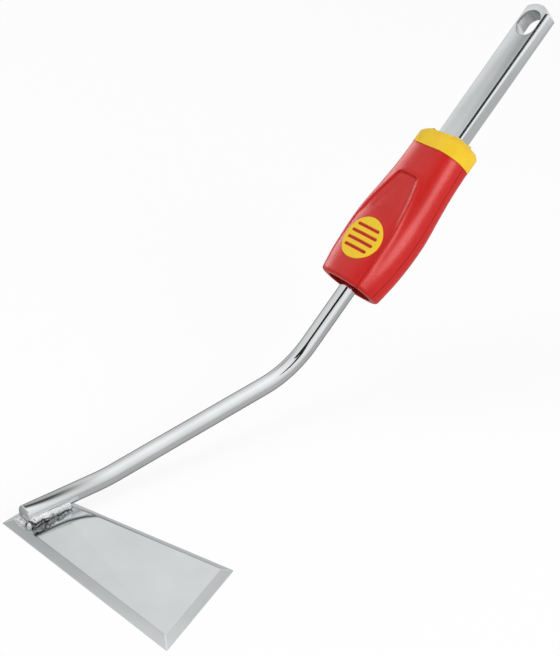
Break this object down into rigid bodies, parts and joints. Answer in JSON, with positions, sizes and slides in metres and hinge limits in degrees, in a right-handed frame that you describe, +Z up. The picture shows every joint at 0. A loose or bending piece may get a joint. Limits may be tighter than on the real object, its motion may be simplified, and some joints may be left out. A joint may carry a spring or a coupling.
{
  "type": "push-pull hoe head",
  "caption": "Hoe head with a one-sided flat blade ground all round, a bent round rod, a latching grip housing and a flat slotted tang for a quick-change handle.",
  "frame": {"origin": "on the tang's axis where the handle's socket stops inside the collar; blade level, as in use", "axes": "+Z up, the blade's underside faces -Z; the handle leaves along +Y and up at 41.4 degrees; the blade reaches out along +X"},
  "size_m": [0.1456, 0.3765, 0.1937],
  "materials": {
    "blade_steel": "bright ground steel under clear lacquer",
    "chromed_rod": "bright plating",
    "tang_steel": "satin zinc plating, soft drawn edges",
    "weld_metal": "rippled weld under bright plating",
    "inner_steel": "dull dark steel",
    "red_plastic": "fine moulded grain",
    "yellow_plastic": "smooth satin",
    "zinc_steel": "thin zinc plating"
  },
  "bodies": {
    "head": {"blade": "blade_steel", "rod": "chromed_rod", "weld_front": "weld_metal", "weld_back": "weld_metal", "weld_end": "weld_metal", "tang": "tang_steel", "coupling_block": "inner_steel", "rod_pin": "inner_steel", "tang_pin": "inner_steel", "front_shell": "red_plastic", "back_shell": "red_plastic", "shell_screw_1": "zinc_steel", "shell_screw_2": "zinc_steel", "shell_screw_3": "zinc_steel", "shell_screw_4": "zinc_steel", "collar": "yellow_plastic", "hinge_pin": "zinc_steel", "return_spring": "zinc_steel"},
    "button": {"release_button": "red_plastic", "thumb_pad": "yellow_plastic", "latch_arm": "zinc_steel", "latch_rivet_1": "zinc_steel", "latch_rivet_2": "zinc_steel"}
  },
  "joints": [
    {"name": "button_tilt", "type": "hinge", "parent": "head", "child": "button", "pos_m": [0, -0.06424, -0.04584], "axis": [-1, 0, 0], "range_deg": [0, 1.6], "stiffness_Nm_per_rad": 3.3, "springref_deg": -2.86, "deforming": ["return_spring"]}
  ]
}
